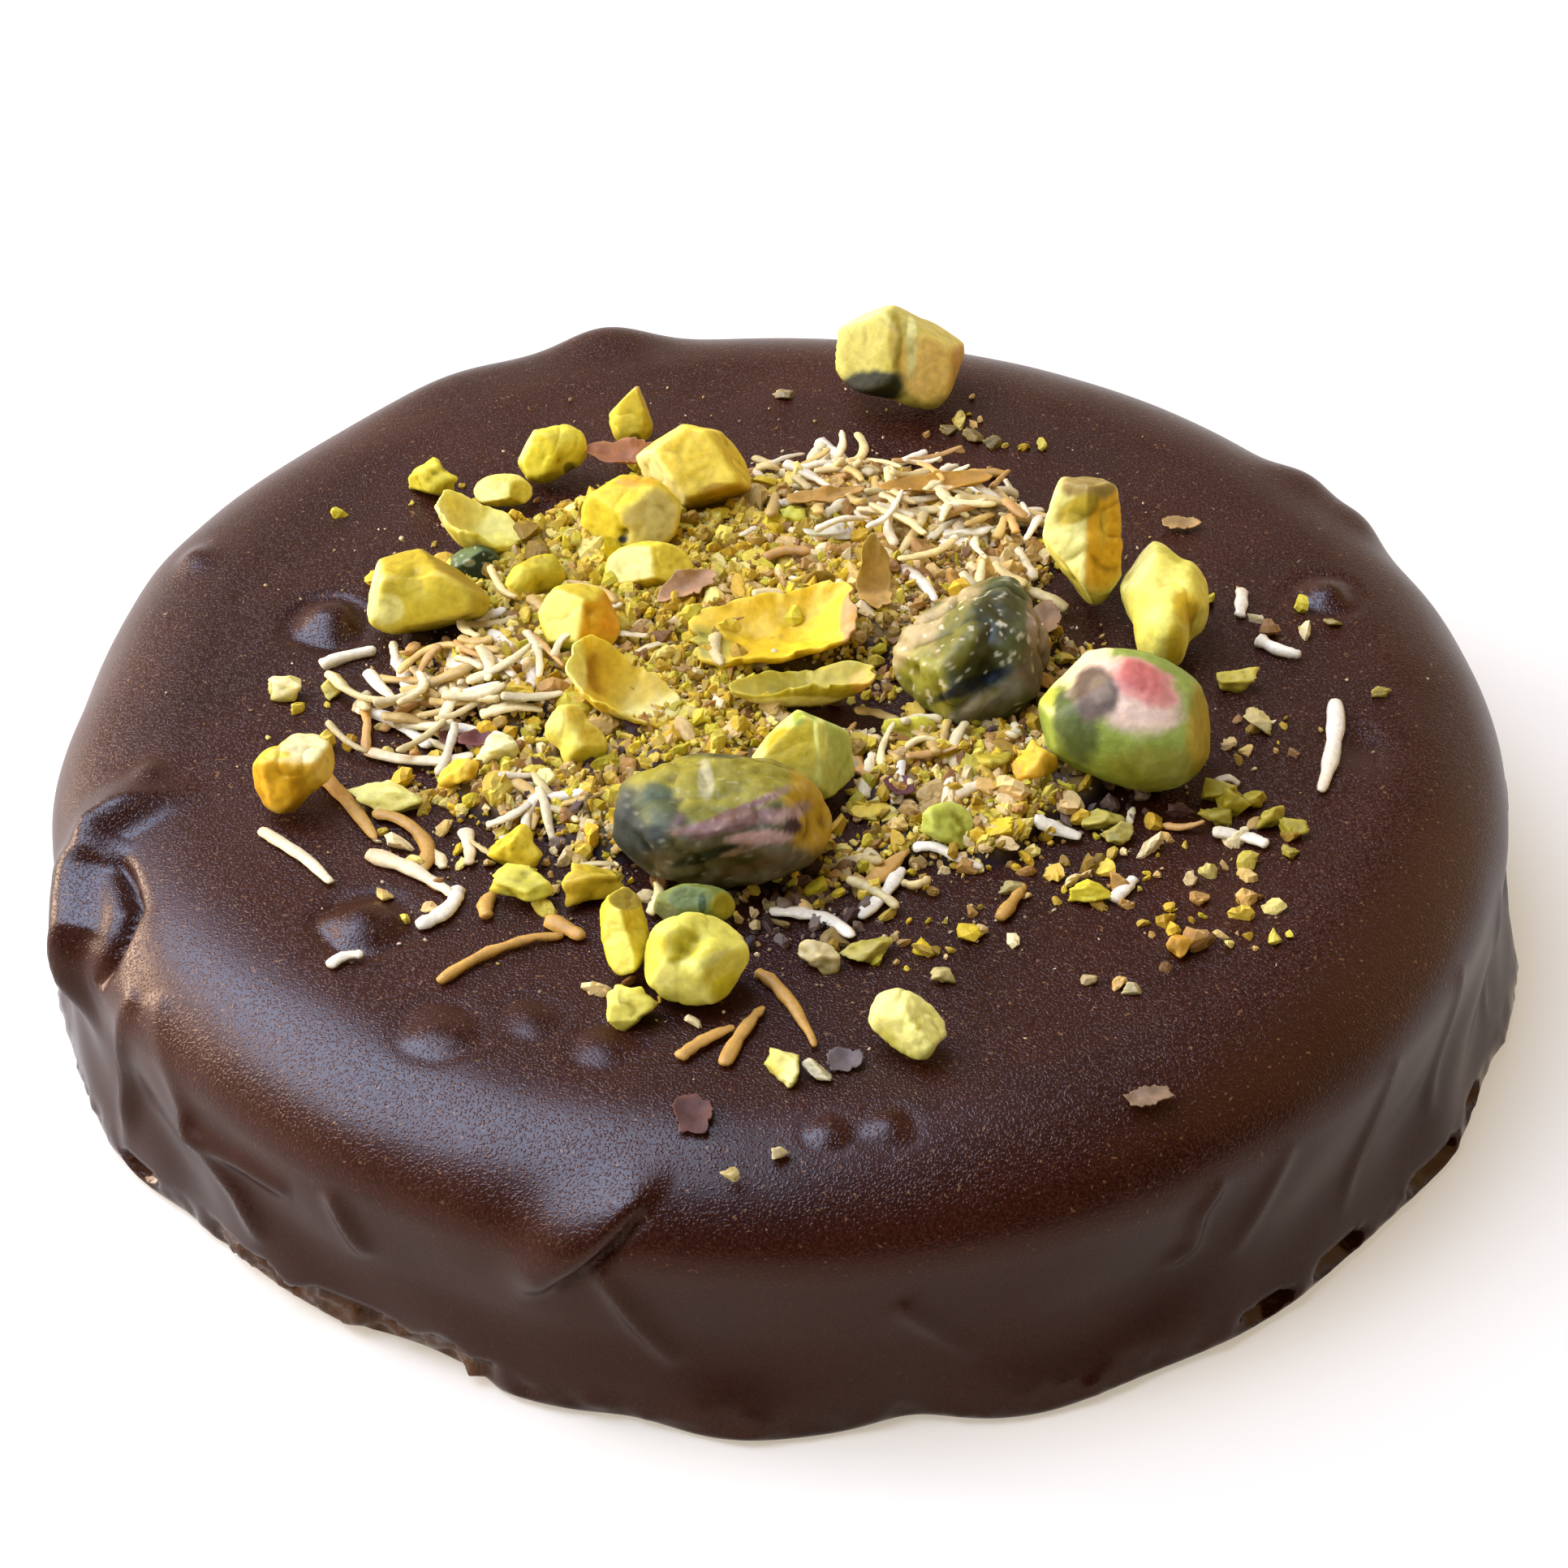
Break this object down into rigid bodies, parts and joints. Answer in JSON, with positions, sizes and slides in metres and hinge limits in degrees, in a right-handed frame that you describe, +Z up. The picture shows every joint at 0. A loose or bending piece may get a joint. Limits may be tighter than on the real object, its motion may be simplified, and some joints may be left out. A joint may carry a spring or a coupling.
{
  "type": "alfajor",
  "caption": "Round chocolate-coated alfajor lying flat, its top scattered with chopped pistachio pieces, nut crumbs and toasted pastry threads.",
  "frame": {"origin": "centre of the flat underside", "axes": "+Z up through the top; +X to the right and +Y to the back as the picture shows it"},
  "size_m": [0.0822, 0.083, 0.0231],
  "materials": {
    "chocolate": "satin dark chocolate coating with a fine grain",
    "crumbs": "dry nut meal and toasted pastry threads",
    "nut_flesh": "matt yellow-green pistachio flesh",
    "nut_skin": "green and purple-brown pistachio skin"
  },
  "bodies": {
    "root": {"chocolate_alfajor": "chocolate", "crumb_and_thread_bed": "crumbs", "pistachio_back_block": "nut_flesh", "pistachio_upright_right": "nut_flesh", "pistachio_lumpy_right": "nut_flesh", "pistachio_pink_half": "nut_skin", "pistachio_dark_back": "nut_skin", "pistachio_dark_front": "nut_skin", "pistachio_bright_wedge": "nut_flesh", "pistachio_pale_block": "nut_flesh", "pistachio_left_chunk": "nut_flesh", "pistachio_dark_sliver": "nut_skin", "pistachio_left_curl": "nut_flesh", "pistachio_pale_lump": "nut_flesh", "pistachio_back_left": "nut_flesh", "pistachio_back_spike": "nut_flesh", "pistachio_back_lump": "nut_flesh", "pistachio_middle_lump": "nut_flesh", "pistachio_flat_lump": "nut_flesh", "pistachio_bent_stick": "nut_flesh", "pistachio_golden_outlier": "nut_flesh", "pistachio_front_stick": "nut_flesh", "pistachio_front_chunk": "nut_flesh", "pistachio_front_dark": "nut_skin", "pistachio_lone_piece": "nut_flesh", "pistachio_curl_end": "nut_flesh", "pistachio_yellow_flake": "nut_flesh", "pistachio_boat_flake": "nut_skin", "pistachio_curled_shaving": "nut_flesh"}
  },
  "joints": []
}
